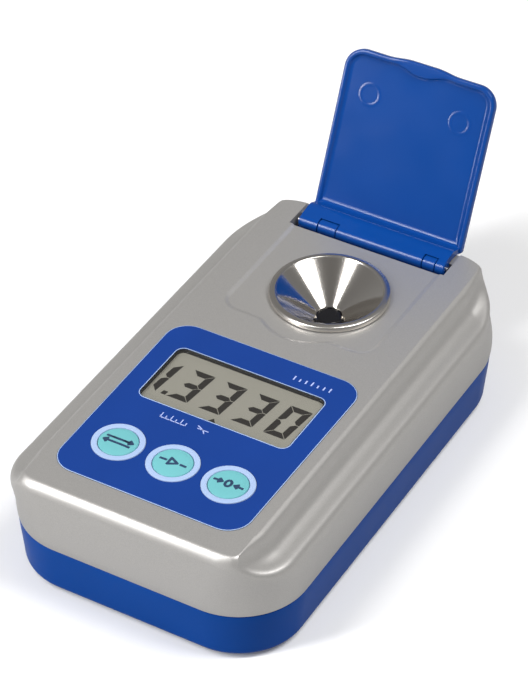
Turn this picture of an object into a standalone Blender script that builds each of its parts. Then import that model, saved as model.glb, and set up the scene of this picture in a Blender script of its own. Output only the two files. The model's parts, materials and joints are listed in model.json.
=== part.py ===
"""A pocket digital refractometer with its sample cover standing open.

The case is two shells screwed together. The silver upper shell carries the membrane label, three
push buttons, the display window, the steel sample well and the hinge. The blue lower shell holds the
optics, the battery and the battery door. Units in the code are millimetres, scaled to metres by MM.

Body coordinates: X to the right, Y towards the hinge, Z up, with zero at the middle of the case and on
the table. The root empty then moves everything by BODY_Y, so that the origin is under the middle of
the whole object with its cover open.
"""

import math

import bmesh
import bpy
from mathutils import Matrix, Vector

MM = 0.001
GAP = 0.3  # clearance between pieces that touch on the real object

# Case
BODY_Y = -10.93  # where the middle of the case lies along the object
HALF_X = 44.5  # half width at the parting line
HALF_Y = 75.2  # half length at the parting line
CORNER = 16.0  # plan radius of the case's corners at the flat top
LOW_CORNER = 21.0  # and low down, where they are rounder
PARTING_Z = 17.1
TOP_Z = 39.3
UNDERSIDE_Z = 0.9
WALL = 3.0
CORNER_STEPS = 10
LONG_STEPS = 6
SHORT_STEPS = 4

# Upper shell: the flat top is narrower than the case, with a hollow flank along each long side
RIDGE_X = 34.1  # half width of the flat top
FRONT_EDGE = 2.0  # how far the flat top stands back from the front wall
REAR_EDGE = 3.2
LEDGE_Z = 32.3
CEILING_Z = 36.8

# Label, display and buttons
LABEL_HALF_X = 30.2
LABEL_Y = (-65.7, 4.5)
LABEL_RADIUS = 7.0
LABEL_FLOOR_Z = 38.8
LABEL_TOP_Z = 39.5
WINDOW_HALF_X = 24.0
WINDOW_Y = (-29.5, -5.5)
BUTTON_X = 17.5
BUTTON_Y = -49.4
BUTTON_R = 5.7
RING_R = 7.4
BUTTON_TRAVEL = 0.5
BUTTON_NAMES = ("scale", "read", "zero")

# Sample well and optics
WELL_X = 1.0
WELL_Y = 37.3
WELL_R = 18.0
CONE_TOP_R = 15.8
PRISM_R = 4.1
WELL_TOP_Z = 40.7
PRISM_Z = 31.0
RECESS_HALF_X = 25.4
RECESS_Y = (16.6, 60.0)
RECESS_Z = 38.8

# Cover and hinge
HINGE_Y = 65.8
HINGE_Z = 38.0
BARREL_R = 2.2
PIN_R = 0.8
LEAN_BACK = 23.5  # degrees past upright when the cover stands open
COVER_HALF_X = 24.9
COVER_TOP = 54.0
COVER_RIM = 8.1  # the rim's distance behind the hinge axis
COVER_BACK = 10.9
COVER_FLOOR = 9.6
SEAT_Z = 38.0

# Battery bay
CELL_R = 5.25
CELL_LENGTH = 44.5
CELL_X = 6.2
CELL_Z = 10.0
BAY_Y = -24.0
DOOR_HALF_X = 15.0
DOOR_HALF_Y = 28.0

SCREW_X = 33.5
SCREW_Y = 61.0
FOOT_X = 29.0
FOOT_Y = 52.0


def clear_scene():
    for item in list(bpy.data.objects):
        bpy.data.objects.remove(item, do_unlink=True)


def material(name, colour, roughness, metallic=0.0, alpha=1.0):
    made = bpy.data.materials.new(name)
    made.use_nodes = True
    shader = made.node_tree.nodes["Principled BSDF"]
    shader.inputs["Base Color"].default_value = (*colour, 1.0)
    shader.inputs["Roughness"].default_value = roughness
    shader.inputs["Metallic"].default_value = metallic
    shader.inputs["Alpha"].default_value = alpha
    return made


def add_mesh(name, points, faces, skin, parent):
    """An object from points in millimetres, closed and facing out, shaded smooth across soft edges."""
    mesh = bpy.data.meshes.new(name)
    mesh.from_pydata([Vector(point) * MM for point in points], [], faces)
    build = bmesh.new()
    build.from_mesh(mesh)
    bmesh.ops.remove_doubles(build, verts=build.verts, dist=1e-6)
    bmesh.ops.recalc_face_normals(build, faces=build.faces)
    build.to_mesh(mesh)
    build.free()
    mesh.shade_smooth()
    mesh.set_sharp_from_angle(angle=math.radians(35))
    made = bpy.data.objects.new(name, mesh)
    bpy.context.scene.collection.objects.link(made)
    if skin:
        made.data.materials.append(skin)
    made.parent = parent
    return made


def loft(name, rings, skin, parent):
    """A closed body through rings of equal length, with a flat face on the first and the last ring."""
    count = len(rings[0])
    points = [point for ring in rings for point in ring]
    faces = [list(range(count))[::-1], [(len(rings) - 1) * count + i for i in range(count)]]
    for row in range(len(rings) - 1):
        for i in range(count):
            j = (i + 1) % count
            low, high = row * count, (row + 1) * count
            faces.append([low + i, low + j, high + j, high + i])
    return add_mesh(name, points, faces, skin, parent)


def rounded_rectangle(x_range, y_range, radius, steps=6):
    """Points anticlockwise round a rounded rectangle in the XY plane."""
    corners = ((x_range[1], y_range[1], 0), (x_range[0], y_range[1], 90))
    corners += ((x_range[0], y_range[0], 180), (x_range[1], y_range[0], 270))
    points = []
    for x, y, start in corners:
        centre_x = x - math.copysign(radius, x - sum(x_range) / 2)
        centre_y = y - math.copysign(radius, y - sum(y_range) / 2)
        for step in range(steps + 1):
            angle = math.radians(start + 90 * step / steps)
            points.append((centre_x + radius * math.cos(angle), centre_y + radius * math.sin(angle)))
    return points


def slab(name, outline, z_range, skin, parent):
    """An outline in the XY plane, extruded from one height to another."""
    return loft(name, [[(x, y, z) for x, y in outline] for z in z_range], skin, parent)


def box(name, x_range, y_range, z_range, skin, parent):
    outline = [(x_range[1], y_range[1]), (x_range[0], y_range[1])]
    outline += [(x_range[0], y_range[0]), (x_range[1], y_range[0])]
    return slab(name, outline, z_range, skin, parent)


def turned(name, profile, place, skin, parent, steps=32, axis="Z"):
    """A profile of (radius, height) pairs turned round an axis; a profile that starts and ends on the
    same pair is a ring, and any other is capped at both ends."""
    spin = {"Z": Matrix(), "X": Matrix.Rotation(math.pi / 2, 4, "Y")}
    spin["Y"] = Matrix.Rotation(-math.pi / 2, 4, "X")
    closed = profile[0] == profile[-1]
    rows = profile[:-1] if closed else profile
    points = []
    for radius, height in rows:
        for step in range(steps):
            angle = 2 * math.pi * step / steps
            local = Vector((radius * math.cos(angle), radius * math.sin(angle), height))
            points.append(spin[axis] @ local + Vector(place))
    faces = []
    for row in range(len(profile) - 1):
        low, high = row * steps, (row + 1) % len(rows) * steps
        for i in range(steps):
            j = (i + 1) % steps
            faces.append([low + i, low + j, high + j, high + i])
    if not closed:
        faces += [list(range(steps))[::-1], [(len(rows) - 1) * steps + i for i in range(steps)]]
    return add_mesh(name, points, faces, skin, parent)


def cylinder(name, radius, z_range, place, skin, parent, steps=24, axis="Z"):
    return turned(name, [(radius, z_range[0]), (radius, z_range[1])], place, skin, parent, steps, axis)


def combine(target, tools, operation):
    """Adds or cuts helper solids, which stay in the scene as hidden wires."""
    for tool in tools:
        tool.hide_render = True
        tool.display_type = "WIRE"
        step = target.modifiers.new(f"{operation.lower()} {tool.name}", "BOOLEAN")
        step.operation = operation
        step.solver = "EXACT"
        step.object = tool


def smoothstep(value):
    value = min(max(value, 0.0), 1.0)
    return value * value * (3 - 2 * value)


def case_stations(radius):
    """The parting outline as (x, y, inward normal, angle off the long side), anticlockwise."""
    stations = []
    flat_x, flat_y = HALF_X - radius, HALF_Y - radius
    for start, sign_x, sign_y in ((0, 1, 1), (90, -1, 1), (180, -1, -1), (270, 1, -1)):
        for step in range(CORNER_STEPS + 1):
            angle = math.radians(start + 90 * step / CORNER_STEPS)
            out = Vector((math.cos(angle), math.sin(angle)))
            place = Vector((sign_x * flat_x, sign_y * flat_y)) + radius * out
            stations.append((place, -out, math.asin(min(1.0, abs(out.y))), sign_y))
        # The straight side that follows this corner
        along_y = start in (90, 270)
        steps = LONG_STEPS if along_y else SHORT_STEPS
        ahead = math.radians(start + 90)
        inward = -Vector((round(math.cos(ahead)), round(math.sin(ahead))))
        reach = flat_y if along_y else flat_x
        for step in range(1, steps):
            slide = reach * (1 - 2 * step / steps)
            spot = (sign_x * HALF_X, sign_y * slide) if along_y else (sign_x * slide, sign_y * HALF_Y)
            stations.append((Vector(spot), inward, 0.0 if along_y else math.pi / 2, sign_y))
    return stations


def ridge_inset(angle, edge):
    """How far inside the parting outline the flat top begins: a straight line along each long side,
    which meets the front or the rear edge inside the corner."""
    straight = CORNER - (CORNER - (HALF_X - RIDGE_X)) / max(math.cos(angle), 0.05)
    blend = 1.2
    return 0.5 * (straight + edge + math.sqrt((straight - edge) ** 2 + blend**2))


# Outer profiles of the upper shell from the parting line to the flat top, as (inset, height). The
# flank's has a soft outer ridge, a ledge and a steep scoop; each end's is a plain wall with a round edge.
FLANK = [(0.0, 17.25), (-0.35, 19.5), (-0.45, 23.0), (-0.1, 27.5), (0.45, 30.6), (1.2, 32.0), (2.6, 32.4)]
FLANK += [(5.0, 32.7), (6.9, 33.6), (8.4, 35.3), (9.5, 37.7), (10.0, 38.9), (10.6, TOP_Z)]
FRONT = [(0.0, 17.25), (-0.35, 19.5), (-0.45, 23.0), (-0.35, 27.5), (-0.22, 31.5), (-0.13, 33.6), (0.0, 35.0)]
FRONT += [(0.17, 36.2), (0.42, 37.25), (0.73, 38.1), (1.12, 38.75), (1.55, 39.15), (FRONT_EDGE, TOP_Z)]
REAR = [(0.0, 17.25), (-0.35, 19.5), (-0.45, 23.0), (-0.1, 27.5), (0.2, 31.0), (0.5, 33.5), (0.75, 35.0)]
REAR += [(1.05, 36.2), (1.4, 37.2), (1.85, 38.1), (2.3, 38.7), (2.7, 39.05), (REAR_EDGE, TOP_Z)]


def shell_point(place, inward, angle, end, row):
    """One point of the upper shell's outer face."""
    wall = FRONT[row] if end < 0 else REAR[row]
    edge = FRONT_EDGE if end < 0 else REAR_EDGE
    deepest = FLANK[-1][0]
    share = (ridge_inset(angle, edge) - edge) / (deepest - edge)
    share = min(max(share, 0.0), 1.0)
    meets = math.acos((CORNER - (HALF_X - RIDGE_X)) / (CORNER - edge))
    rise = min(angle / meets, 1.0) ** 3
    inset = wall[0] + (FLANK[row][0] - wall[0]) * share
    height = FLANK[row][1] + (wall[1] - FLANK[row][1]) * rise
    spot = place + inward * inset
    return (spot.x, spot.y, height)


def case_ring(stations, inset, height):
    """A ring at an even distance inside the parting outline."""
    return [(*(place + inward * inset), height) for place, inward, _, _ in stations]


def shell_ring(row):
    """One ring of the upper shell. Its corners get tighter towards the top."""
    share = smoothstep((FRONT[row][1] - 21.0) / (TOP_Z - 21.0))
    stations = case_stations(LOW_CORNER + (CORNER - LOW_CORNER) * share)
    return [shell_point(*station, row) for station in stations]


def top_shell(skin, parent):
    stations = case_stations(LOW_CORNER)
    inner = [(3.8, 29.0), (3.4, 28.4), (WALL, 17.7), (WALL, 17.25)]
    rings = [case_ring(stations, inset, height) for inset, height in inner]
    rings += [shell_ring(row) for row in range(len(FLANK))]
    shell = loft("top_shell", rings, skin, parent)

    upper_bay = rounded_rectangle((-31.2, 31.2), (-70.5, 57.0), 4.0, 3)
    cuts = [slab("cut_upper_bay", upper_bay, (20.0, CEILING_Z), None, parent)]
    label_x = (-LABEL_HALF_X - GAP, LABEL_HALF_X + GAP)
    label = rounded_rectangle(label_x, (LABEL_Y[0] - GAP, LABEL_Y[1] + GAP), LABEL_RADIUS + GAP)
    cuts.append(slab("cut_label_recess", label, (LABEL_FLOOR_Z, 45.0), None, parent))
    cuts.append(slab("cut_window", window_outline(1.2, 3.7), (30.0, 44.0), None, parent))
    for index, name in enumerate(BUTTON_NAMES):
        spot = ((index - 1) * BUTTON_X, BUTTON_Y, 0)
        cuts.append(cylinder(f"cut_button_{name}", BUTTON_R + 0.35, (30.0, 44.0), spot, None, parent))
    cuts.append(cylinder("cut_well", 16.4, (30.0, 45.5), (WELL_X, WELL_Y, 0), None, parent, 40))
    recess = rounded_rectangle((-RECESS_HALF_X, RECESS_HALF_X), RECESS_Y, 5.5, 5)
    cuts.append(slab("cut_cover_recess", recess, (RECESS_Z, 46.0), None, parent))
    cuts.append(cylinder("cut_finger_scoop", 16.0, (RECESS_Z + 0.001, 46.5), (0, 28.2, 0), None, parent, 40))
    cuts.append(box("cut_hinge_trough", (-26.0, 26.0), (59.8, 68.6), (34.9, 47.0), None, parent))
    cuts.append(box("cut_hinge_seat", (-26.0, 26.0), (67.0, 80.0), (SEAT_Z, 47.5), None, parent))

    posts = []
    for side_x in (-1, 1):
        for side_y in (-1, 1):
            spot = (side_x * SCREW_X, side_y * SCREW_Y, 0)
            tag = f"{'right' if side_x > 0 else 'left'}_{'rear' if side_y > 0 else 'front'}"
            posts.append(cylinder(f"post_top_{tag}", 4.2, (17.0, 30.0), spot, None, parent, 16))
            cuts.append(cylinder(f"cut_thread_{tag}", 1.6, (10.0, 27.0), spot, None, parent, 12))
    combine(shell, posts, "UNION")
    combine(shell, cuts, "DIFFERENCE")
    return shell


def bottom_shell(skin, parent):
    stations = case_stations(LOW_CORNER)
    top = PARTING_Z - 0.15
    outer = [(3.5, UNDERSIDE_Z), (2.35, 1.2), (1.5, 2.05), (1.2, 3.2), (0.55, 10.5), (0.1, 15.6), (0.0, top)]
    groove = [(0.9, top), (0.9, 15.7), (2.1, 15.7), (2.1, top), (WALL, top)]
    inner = [(3.9, 6.0), (4.6, 4.2), (5.8, 3.4)]
    rings = [case_ring(stations, inset, height) for inset, height in outer + groove + inner]
    shell = loft("bottom_shell", rings, skin, parent)

    bay_x, bay_y = DOOR_HALF_X + GAP, DOOR_HALF_Y + GAP
    door_y = (BAY_Y - bay_y, BAY_Y + bay_y + 0.25)
    cuts = [box("cut_door", (-bay_x, bay_x), door_y, (0.0, 3.0), None, parent)]
    cuts.append(box("cut_bay", (-13.4, 13.4), (BAY_Y - 25.6, BAY_Y + 25.6), (0.5, 12.0), None, parent))
    posts = []
    for side_x in (-1, 1):
        for side_y in (-1, 1):
            spot = (side_x * SCREW_X, side_y * SCREW_Y, 0)
            tag = f"{'right' if side_x > 0 else 'left'}_{'rear' if side_y > 0 else 'front'}"
            posts.append(cylinder(f"post_bottom_{tag}", 4.6, (3.0, 16.4), spot, None, parent, 16))
            cuts.append(cylinder(f"cut_clearance_{tag}", 1.7, (-1.0, 18.0), spot, None, parent, 12))
            cuts.append(cylinder(f"cut_head_{tag}", 3.3, (-1.2, 4.6), spot, None, parent, 16))
            foot = (side_x * FOOT_X, side_y * FOOT_Y, 0)
            cuts.append(cylinder(f"cut_foot_{tag}", 5.3, (-1.4, 1.8), foot, None, parent, 20))
    for side in (-1, 1):
        walls = sorted((side * 13.7, side * 15.2))
        posts.append(box(f"bay_wall_{side}", walls, (BAY_Y - 27.0, BAY_Y + 27.0), (3.2, 13.0), None, parent))
    combine(shell, posts, "UNION")
    combine(shell, cuts, "DIFFERENCE")
    return shell


def gasket(skin, parent):
    stations = case_stations(LOW_CORNER)
    section = [(1.2, 16.0), (1.8, 16.0), (1.8, 17.0), (1.2, 17.0)]
    count = len(stations)
    points = [point for inset, height in section for point in case_ring(stations, inset, height)]
    faces = []
    for row in range(4):
        low, high = row * count, (row + 1) % 4 * count
        for i in range(count):
            j = (i + 1) % count
            faces.append([low + i, low + j, high + j, high + i])
    return add_mesh("case_gasket", points, faces, skin, parent)


def keypad_label(skin, parent):
    outline = rounded_rectangle((-LABEL_HALF_X, LABEL_HALF_X), LABEL_Y, LABEL_RADIUS)
    label = slab("keypad_label", outline, (LABEL_FLOOR_Z + GAP, LABEL_TOP_Z), skin, parent)
    cuts = [slab("cut_label_window", window_outline(0.0, 2.5), (38.0, 44.0), None, parent)]
    for index, name in enumerate(BUTTON_NAMES):
        spot = ((index - 1) * BUTTON_X, BUTTON_Y, 0)
        cuts.append(cylinder(f"cut_label_{name}", RING_R + GAP, (38.0, 44.0), spot, None, parent))
    combine(label, cuts, "DIFFERENCE")
    return label


def buttons(cap_skin, ring_skin, switch_skin, parent):
    """Three caps with stems, each in a pale ring, over a switch on the main board."""
    for index, name in enumerate(BUTTON_NAMES):
        x = (index - 1) * BUTTON_X
        cap = [(1.6, -2.1), (1.6, -1.4), (BUTTON_R, -1.4), (BUTTON_R, 0.05)]
        cap += [(BUTTON_R - 0.35, 0.3), (2.4, 0.4)]
        mover = bpy.data.objects.new(f"{name}_press", None)
        bpy.context.scene.collection.objects.link(mover)
        mover.parent = parent
        mover.location = Vector((x, BUTTON_Y, LABEL_TOP_Z)) * MM
        turned(f"button_{name}", cap, (0, 0, 0), cap_skin, mover)
        low, high = LABEL_FLOOR_Z + GAP, LABEL_TOP_Z + 0.25
        inner = BUTTON_R + GAP
        ring = [(inner, low), (RING_R, low), (RING_R, high - 0.2), (RING_R - 0.2, high), (inner + 0.2, high)]
        ring += [(inner, high - 0.2), (inner, low)]
        turned(f"button_ring_{name}", ring, (x, BUTTON_Y, 0), ring_skin, parent)
        side_x, side_y = (x - 3, x + 3), (BUTTON_Y - 3, BUTTON_Y + 3)
        switch = box(f"switch_{name}", side_x, side_y, (31.3, 34.6), switch_skin, parent)
        stem = cylinder(f"stem_{name}", 1.7, (34.0, 36.5), (x, BUTTON_Y, 0), None, parent, 16)
        combine(switch, [stem], "UNION")


def window_outline(grow, radius):
    """The display window's outline, grown outwards by a distance."""
    span_x = (-WINDOW_HALF_X - grow, WINDOW_HALF_X + grow)
    return rounded_rectangle(span_x, (WINDOW_Y[0] - grow, WINDOW_Y[1] + grow), radius, 3)


def display(skins, parent):
    """The clear window in the label, and below it the display in its black frame. An elastomer strip
    joins the display to the board."""
    slab("display_window", window_outline(-0.3, 2.2), (39.0, 39.4), skins["clear"], parent)
    frame = slab("display_frame", window_outline(0.9, 3.4), (36.3, 38.5), skins["black"], parent)
    combine(frame, [slab("cut_frame", window_outline(0.1, 2.6), (35.0, 39.5), None, parent)], "DIFFERENCE")
    slab("display_glass", window_outline(-0.2, 2.3), (36.2, 38.1), skins["display"], parent)
    low_y = WINDOW_Y[0]
    box("display_connector", (-22.0, 22.0), (low_y + 1.0, low_y + 3.0), (31.3, 35.9), skins["rubber"], parent)


def boards(skins, parent):
    outline = rounded_rectangle((-29.5, 29.5), (-68.5, 12.0), 2.0, 2)
    board = slab("main_board", outline, (29.4, 31.0), skins["board"], parent)
    holes = []
    for side_x in (-1, 1):
        for name, y in (("front", -65.0), ("rear", 8.0)):
            side = "right" if side_x > 0 else "left"
            spot = (side_x * 26.5, y, 0)
            cylinder(f"board_spacer_{side}_{name}", 2.4, (31.3, 36.5), spot, skins["brass"], parent, 16)
            holes.append(cylinder(f"cut_board_{side}_{name}", 1.3, (28.0, 32.0), spot, None, parent, 12))
    combine(board, holes, "DIFFERENCE")
    box("sensor_board", (-8.3, 8.3), (15.1, 16.1), (8.0, 27.0), skins["board"], parent)
    bend = [(14.7, 24.0), (14.7, 28.2), (13.9, 28.9), (4.0, 28.9)]
    bend += [(4.0, 28.5), (13.7, 28.5), (14.3, 28.0), (14.3, 24.0)]
    loft("flex_cable", [[(x, y, z) for y, z in bend] for x in (-3.0, 3.0)], skins["flex"], parent)


def sample_well(skin, parent):
    """A turned steel funnel: a rounded rim that sits on the top, and a cone down to the prism."""
    seat, top = RECESS_Z + GAP, WELL_TOP_Z
    profile = [(16.1, seat), (WELL_R, seat), (WELL_R, top - 1.1), (WELL_R - 0.3, top - 0.5)]
    profile += [(WELL_R - 0.9, top - 0.1), (WELL_R - 1.4, top), (CONE_TOP_R + 0.35, top), (CONE_TOP_R, top - 0.3)]
    profile += [(PRISM_R, PRISM_Z), (PRISM_R, 30.0), (7.2, 30.0), (7.2, 31.6), (14.4, 37.0), (16.1, 38.0)]
    profile.append(profile[0])
    return turned("sample_well", profile, (WELL_X, WELL_Y, 0), skin, parent, 48)


def optics(skins, parent):
    """The prism under the well, and the lamp, lens and sensor that look at it from below."""
    tub = box("optics_housing", (-12.0, 12.0), (11.5, 57.0), (3.7, 27.6), skins["black"], parent)
    combine(tub, [box("cut_optics", (-8.8, 8.8), (14.0, 54.5), (6.5, 35.0), None, parent)], "DIFFERENCE")

    side = [(31.0, 28.3), (27.6, 22.0), (45.6, 22.0), (42.2, 28.3)]
    prism = loft("prism", [[(x, y, z) for y, z in side] for x in (-8.4, 8.4)], skins["prism"], parent)
    face = cylinder("prism_face", PRISM_R - 0.35, (27.0, PRISM_Z - 0.2), (WELL_X, WELL_Y, 0), None, parent)
    combine(prism, [face], "UNION")
    seal = [(4.2, 28.6), (6.0, 28.6), (6.0, 29.7), (4.2, 29.7), (4.2, 28.6)]
    turned("prism_seal", seal, (WELL_X, WELL_Y, 0), skins["rubber"], parent, 24)

    lamp = box("light_source", (-2.5, 2.5), (51.6, 54.2), (10.5, 15.5), skins["lamp"], parent)
    dome = cylinder("lamp_dome", 2.0, (-2.4, 0.6), (0, 51.4, 13.0), None, parent, 16, "Y")
    combine(lamp, [dome], "UNION")
    lens = [(5.0, -1.2), (5.0, 1.0), (3.4, 1.7), (1.4, 2.1)]
    turned("imaging_lens", lens, (0, 23.0, 13.0), skins["clear"], parent, 24, "Y")
    box("image_sensor", (-5.0, 5.0), (16.4, 17.6), (10.5, 15.5), skins["chip"], parent)
    box("temperature_sensor", (9.8, 12.6), (WELL_Y - 1.6, WELL_Y + 1.6), (30.0, 32.2), skins["chip"], parent)


def battery(skins, parent):
    front, rear = BAY_Y - CELL_LENGTH / 2, BAY_Y + CELL_LENGTH / 2
    for tag, x in (("left", -CELL_X), ("right", CELL_X)):
        cell = [(CELL_R, 0.0), (CELL_R, CELL_LENGTH - 1.2), (2.0, CELL_LENGTH - 1.2), (2.0, CELL_LENGTH)]
        start = front if tag == "left" else rear
        made = turned(f"battery_{tag}", cell, (0, 0, 0), skins["battery"], parent, 20, "Y")
        made.location = Vector((x, start, CELL_Z)) * MM
        if tag == "right":
            made.rotation_euler = (0, 0, math.pi)
    for tag, inner, outer in (("front", front - 0.4, front - 0.9), ("rear", rear + 0.4, rear + 0.9)):
        span = sorted((inner, outer))
        box(f"battery_contact_{tag}", (-11.5, 11.5), span, (5.5, 14.0), skins["nickel"], parent)

    hinge = bpy.data.objects.new("battery_door_hinge", None)
    bpy.context.scene.collection.objects.link(hinge)
    hinge.parent = parent
    hinge.location = Vector((0, BAY_Y + DOOR_HALF_Y - 0.6, 1.6)) * MM
    lid_y = (-2 * DOOR_HALF_Y + 0.6, 0.6)
    plate = rounded_rectangle((-DOOR_HALF_X, DOOR_HALF_X), lid_y, 0.6, 2)
    door = slab("battery_door", plate, (UNDERSIDE_Z - 1.6, 2.7 - 1.6), skins["blue"], hinge)
    notch = cylinder("cut_door_grip", 6.0, (-6.0, -0.35), (0, -2 * DOOR_HALF_Y + 12.0, 0), None, hinge, 24)
    combine(door, [notch], "DIFFERENCE")


def fasteners(skins, parent):
    for side_x in (-1, 1):
        for side_y in (-1, 1):
            tag = f"{'right' if side_x > 0 else 'left'}_{'rear' if side_y > 0 else 'front'}"
            spot = (side_x * SCREW_X, side_y * SCREW_Y, 0)
            shape = [(2.9, 2.1), (2.9, 4.3), (1.3, 4.3), (1.3, 24.0)]
            screw = turned(f"case_screw_{tag}", shape, spot, skins["steel"], parent, 20)
            slots = []
            for turn, (half_a, half_b) in enumerate(((1.7, 0.35), (0.35, 1.7))):
                span_x = (spot[0] - half_a, spot[0] + half_a)
                span_y = (spot[1] - half_b, spot[1] + half_b)
                name = f"cut_cross_{turn}_{tag}"
                slots.append(box(name, span_x, span_y, (1.0, 3.2 + 0.01 * turn), None, parent))
            combine(screw, slots, "DIFFERENCE")
            foot = [(4.6, 0.0), (5.0, 0.4), (5.0, 1.5)]
            turned(f"foot_{tag}", foot, (side_x * FOOT_X, side_y * FOOT_Y, 0), skins["rubber"], parent)


def hinge_bracket(skin, parent):
    """The strip in the trough behind the well that carries the fixed knuckles."""
    strip = box("hinge_bracket", (-25.4, 25.4), (63.2, 68.2), (35.2, 35.75), skin, parent)
    knuckles = []
    for number, (left, right) in enumerate(((-17.8, -11.8), (17.5, 21.5))):
        axis = (0, HINGE_Y, HINGE_Z)
        name = f"fixed_knuckle_{number}"
        knuckles.append(cylinder(name, BARREL_R, (left, right), axis, None, parent, 20, "X"))
        leg_x, leg_y = (left + 0.02, right - 0.02), (HINGE_Y - 1.5, HINGE_Y + 1.5)
        knuckles.append(box(f"fixed_leg_{number}", leg_x, leg_y, (35.4, 37.2), None, parent))
    combine(strip, knuckles, "UNION")
    bore = cylinder("cut_pin_bore", PIN_R + 0.1, (-27.0, 27.0), (0, HINGE_Y, HINGE_Z), None, parent, 16, "X")
    combine(strip, [bore], "DIFFERENCE")


def cover(skins, parent):
    """The cover in its own frame: X along the hinge axis, Z up the cover, -Y towards the user."""
    hinge = bpy.data.objects.new("cover_hinge", None)
    bpy.context.scene.collection.objects.link(hinge)
    hinge.parent = parent
    hinge.location = Vector((0, HINGE_Y, HINGE_Z)) * MM
    hinge.rotation_euler = (math.radians(-LEAN_BACK), 0, 0)

    outline = []
    corners = ((COVER_HALF_X, COVER_TOP, 6.5, 0), (-COVER_HALF_X, COVER_TOP, 6.5, 90))
    corners += ((-COVER_HALF_X, 3.0, 0.8, 180), (COVER_HALF_X, 3.0, 0.8, 270))
    for x, z, radius, start in corners:
        centre_x = x - math.copysign(radius, x)
        centre_z = z - radius if z > 10 else z + radius
        for step in range(7):
            angle = math.radians(start + 15 * step)
            outline.append((centre_x + radius * math.cos(angle), centre_z + radius * math.sin(angle)))
        if start == 0:
            for x_tip, rise in ((12.0, 0.05), (7.0, 0.55), (0.0, 0.8), (-7.0, 0.55), (-12.0, 0.05)):
                outline.append((x_tip, z + rise))
    sections = [(COVER_FLOOR, 2.3), (COVER_RIM, 1.8), (COVER_RIM, 0.5), (8.5, 0.0), (10.0, 0.0), (10.7, 0.6)]
    rings = []
    for depth, shrink in sections:
        ring = []
        for x, z in outline:
            ring.append((x - math.copysign(shrink, x), depth, z - math.copysign(shrink, z - 28.0)))
        rings.append(ring)
    rings.append([(x * 0.94, COVER_BACK, 28.0 + (z - 28.0) * 0.94) for x, z in outline])
    panel = loft("cover", rings, skins["blue"], hinge)

    section = [(0.4, 2.1), (2.0, 4.3), (3.7, 4.9), (8.6, 5.1), (9.9, 5.6)]
    section += [(10.2, 3.1), (8.3, 3.1), (6.0, 3.1), (2.75, 1.7), (0.8, -1.0)]
    strap = loft("cover_strap", [[(x, y, z) for y, z in section] for x in (-24.3, 24.3)], None, hinge)
    barrel = cylinder("cover_barrel", BARREL_R, (-24.3, 24.5), (0, 0, 0), None, hinge, 20, "X")
    combine(panel, [strap, barrel], "UNION")
    cuts = []
    for number, (left, right) in enumerate(((-18.1, -11.5), (17.2, 21.8))):
        cuts.append(box(f"cut_leg_{number}", (left, right), (-3.5, 2.9), (-3.5, 0.6), None, hinge))
        cuts.append(cylinder(f"cut_knuckle_{number}", BARREL_R + 0.25, (left, right), (0, 0, 0), None, hinge, 20, "X"))
    cuts.append(cylinder("cut_cover_bore", PIN_R + 0.1, (-28.0, 28.0), (0, 0, 0), None, hinge, 16, "X"))
    combine(panel, cuts, "DIFFERENCE")
    cylinder("hinge_pin", PIN_R, (-25.3, 25.3), (0, HINGE_Y, HINGE_Z), skins["steel"], parent, 16, "X")


def main():
    clear_scene()
    skins = {
        "silver": material("silver_paint", (0.36, 0.34, 0.33), 0.38, 0.6),
        "blue": material("blue_plastic", (0.012, 0.075, 0.33), 0.3),
        "label": material("blue_label", (0.016, 0.06, 0.34), 0.35),
        "turquoise": material("turquoise_caps", (0.19, 0.58, 0.62), 0.5),
        "pale": material("pale_rings", (0.48, 0.6, 0.86), 0.5),
        "clear": material("clear_plastic", (0.9, 0.92, 0.9), 0.05, 0.0, 0.3),
        "display": material("display_glass", (0.38, 0.36, 0.3), 0.2),
        "black": material("black_plastic", (0.02, 0.02, 0.02), 0.5),
        "rubber": material("black_rubber", (0.03, 0.03, 0.03), 0.8),
        "board": material("green_board", (0.02, 0.16, 0.06), 0.4),
        "brass": material("brass", (0.7, 0.5, 0.2), 0.3, 1.0),
        "flex": material("amber_flex", (0.5, 0.22, 0.03), 0.4),
        "well": material("polished_steel", (0.62, 0.6, 0.58), 0.1, 1.0),
        "prism": material("optical_glass", (0.05, 0.05, 0.06), 0.03),
        "lamp": material("lamp_lens", (0.9, 0.85, 0.5), 0.2),
        "chip": material("chip_resin", (0.03, 0.03, 0.035), 0.35),
        "battery": material("battery_sleeve", (0.25, 0.26, 0.28), 0.35),
        "nickel": material("nickel_plate", (0.6, 0.58, 0.54), 0.25, 1.0),
        "steel": material("plain_steel", (0.5, 0.5, 0.5), 0.3, 1.0),
    }
    root = bpy.data.objects.new("refractometer", None)
    bpy.context.scene.collection.objects.link(root)
    root.location = (0, BODY_Y * MM, 0)

    top_shell(skins["silver"], root)
    bottom_shell(skins["blue"], root)
    gasket(skins["rubber"], root)
    keypad_label(skins["label"], root)
    buttons(skins["turquoise"], skins["pale"], skins["chip"], root)
    display(skins, root)
    boards(skins, root)
    sample_well(skins["well"], root)
    optics(skins, root)
    battery(skins, root)
    fasteners(skins, root)
    hinge_bracket(skins["blue"], root)
    cover(skins, root)


main()
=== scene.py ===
"""Looks of a pocket digital refractometer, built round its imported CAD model.

The scene holds the instrument lying on a white table with its sample cover open. Most outer pieces are
modelled again here in finer detail and stand for their CAD nodes. The rest, mostly inside the case,
keep their CAD mesh and get a material.

The code works in millimetres in the case's own coordinates: X to the right, Y towards the hinge, Z up,
with zero at the middle of the case and on the table. place() turns them into the frame's metres.
"""

import json
import math

import bmesh
import bpy
from mathutils import Matrix, Vector

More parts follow.
